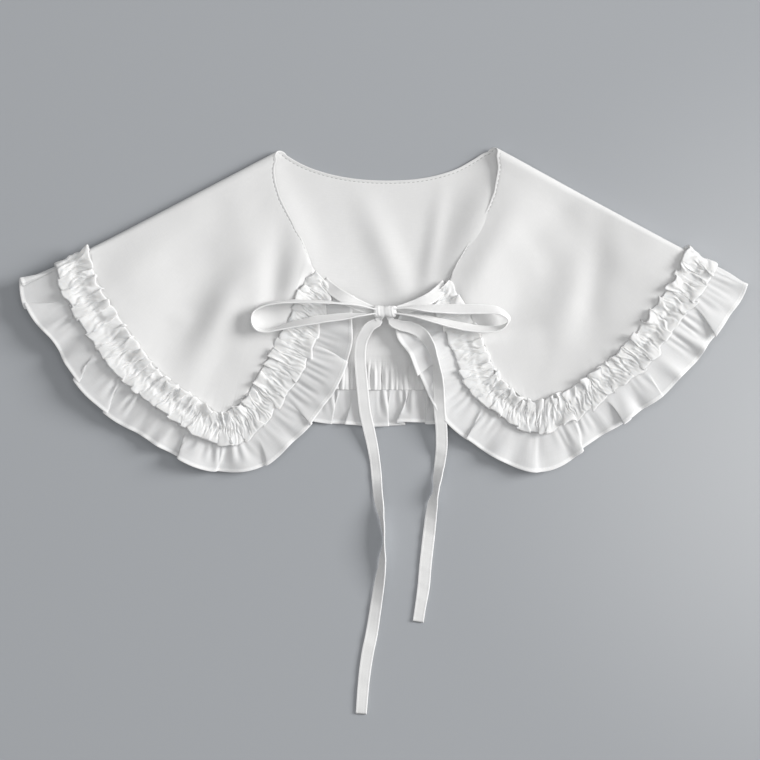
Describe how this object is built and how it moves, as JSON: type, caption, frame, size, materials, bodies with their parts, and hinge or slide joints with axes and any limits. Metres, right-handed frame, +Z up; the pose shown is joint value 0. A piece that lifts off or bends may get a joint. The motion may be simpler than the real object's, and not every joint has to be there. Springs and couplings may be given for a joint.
{
  "type": "ruffled false collar with tie bow",
  "caption": "Detachable false collar of plain white cloth with a ruche and a gathered ruffle round its edge, lying flat with its ties in a bow.",
  "frame": {"origin": "middle of the collar's outline, ties left out, on the surface it lies on", "axes": "+X from one shoulder to the other, the wearer's left shoulder at +X, +Y from the front flaps' hem towards the back neck edge, +Z up out of the surface"},
  "size_m": [0.4812, 0.3705, 0.0201],
  "materials": {
    "panel_cloth": "matte",
    "ruffle_cloth": "matte",
    "ruche_cloth": "matte",
    "tape_cloth": "matte"
  },
  "bodies": {
    "root": {"collar_panel": "panel_cloth", "outer_ruffle": "ruffle_cloth", "ruche": "ruche_cloth", "left_tie_lead": "tape_cloth", "left_tie_loop": "tape_cloth", "left_tie_tail": "tape_cloth", "right_tie_lead": "tape_cloth", "right_tie_loop": "tape_cloth", "right_tie_tail": "tape_cloth", "tie_knot": "tape_cloth"}
  },
  "joints": []
}
